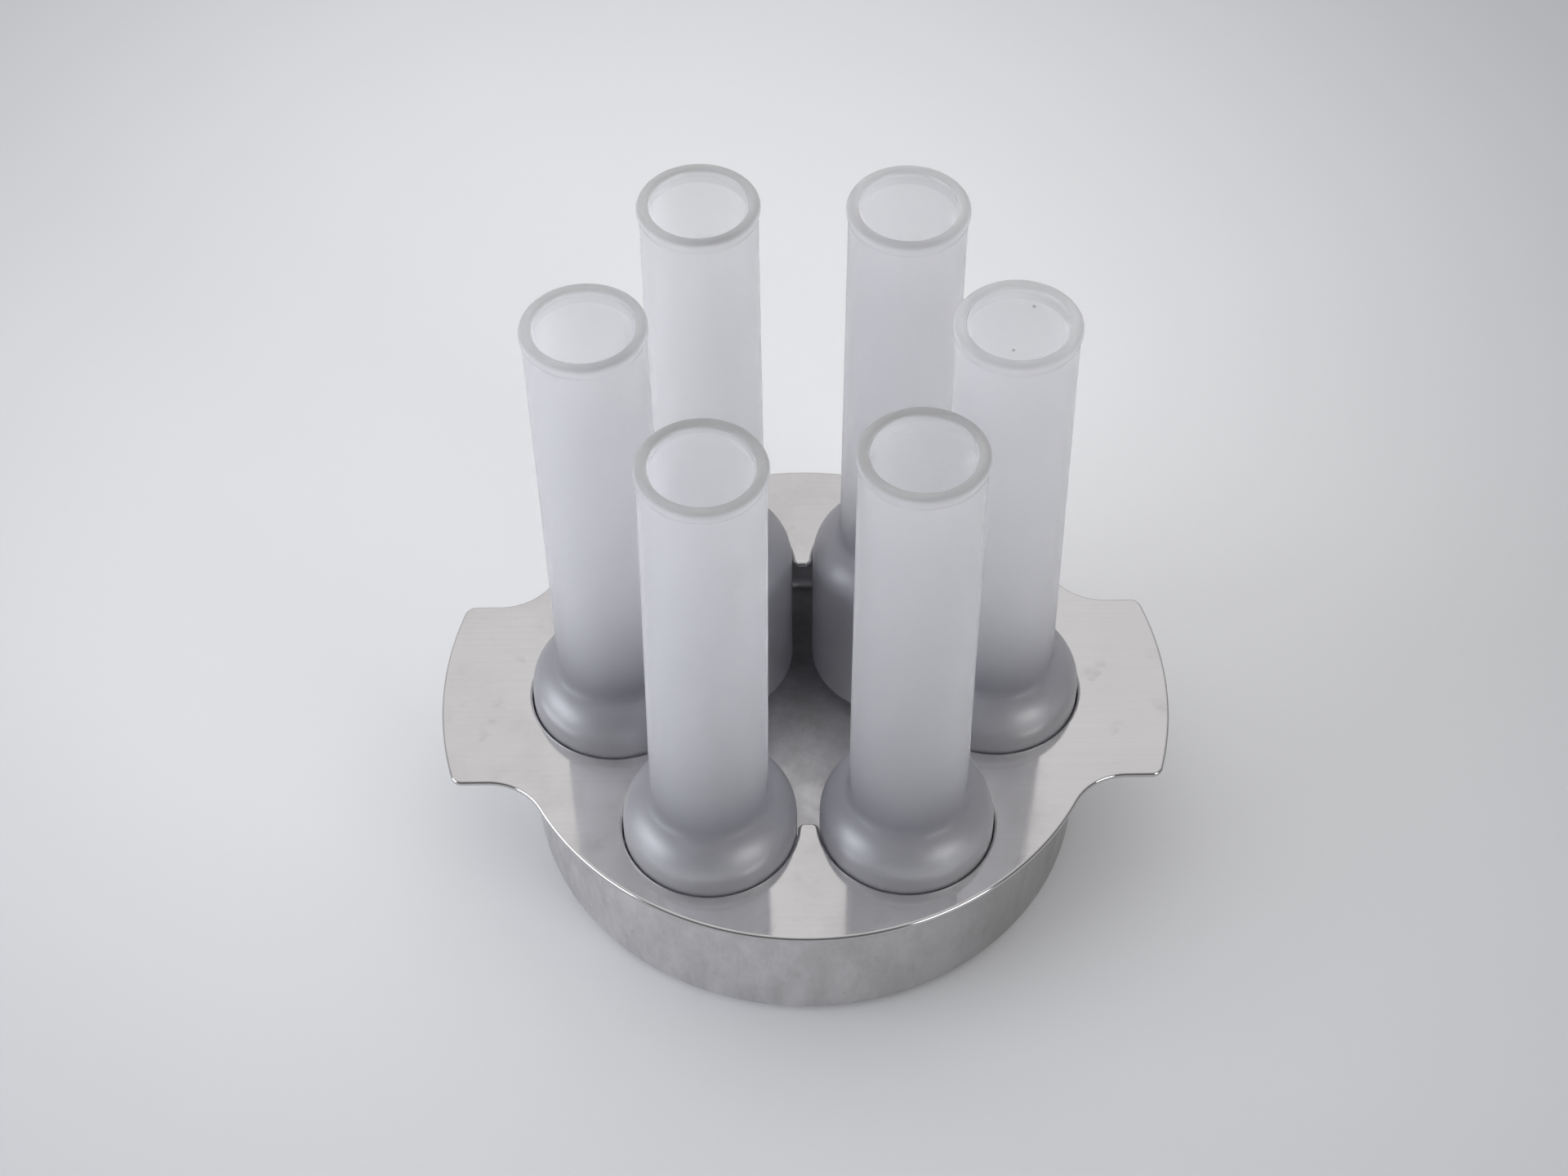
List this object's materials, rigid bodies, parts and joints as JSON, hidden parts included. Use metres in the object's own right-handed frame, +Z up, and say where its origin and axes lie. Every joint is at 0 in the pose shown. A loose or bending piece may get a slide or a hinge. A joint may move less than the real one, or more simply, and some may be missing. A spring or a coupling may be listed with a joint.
{
  "type": "laboratory tube set with carrier",
  "caption": "Open frosted glass tubes with bulb feet and beaded rims, standing in a round stainless steel carrier with a lobed plate and two lifting ears.",
  "frame": {"origin": "centre of the pan's underside", "axes": "+Z up, along the tubes; +X from the left-hand ear to the right-hand ear; -Y is the front"},
  "size_m": [0.22, 0.18, 0.2003],
  "materials": {
    "plate_steel": "brushed, lightly marked from use",
    "pan_steel": "satin, blotchy from washing",
    "frosted_glass": "acid-frosted outside, clear ground rim"
  },
  "bodies": {
    "carrier": {"top_plate": "plate_steel", "base_pan": "pan_steel"},
    "tube_right": {"tube_right": "frosted_glass"},
    "tube_rear_right": {"tube_rear_right": "frosted_glass"},
    "tube_rear_left": {"tube_rear_left": "frosted_glass"},
    "tube_left": {"tube_left": "frosted_glass"},
    "tube_front_left": {"tube_front_left": "frosted_glass"},
    "tube_front_right": {"tube_front_right": "frosted_glass"}
  },
  "joints": [
    {"name": "lift_right", "type": "slide", "parent": "carrier", "child": "tube_right", "axis": [0, 0, 1], "range_m": [0, 0.2]},
    {"name": "lift_rear_right", "type": "slide", "parent": "carrier", "child": "tube_rear_right", "axis": [0, 0, 1], "range_m": [0, 0.2]},
    {"name": "lift_rear_left", "type": "slide", "parent": "carrier", "child": "tube_rear_left", "axis": [0, 0, 1], "range_m": [0, 0.2]},
    {"name": "lift_left", "type": "slide", "parent": "carrier", "child": "tube_left", "axis": [0, 0, 1], "range_m": [0, 0.2]},
    {"name": "lift_front_left", "type": "slide", "parent": "carrier", "child": "tube_front_left", "axis": [0, 0, 1], "range_m": [0, 0.2]},
    {"name": "lift_front_right", "type": "slide", "parent": "carrier", "child": "tube_front_right", "axis": [0, 0, 1], "range_m": [0, 0.2]}
  ]
}
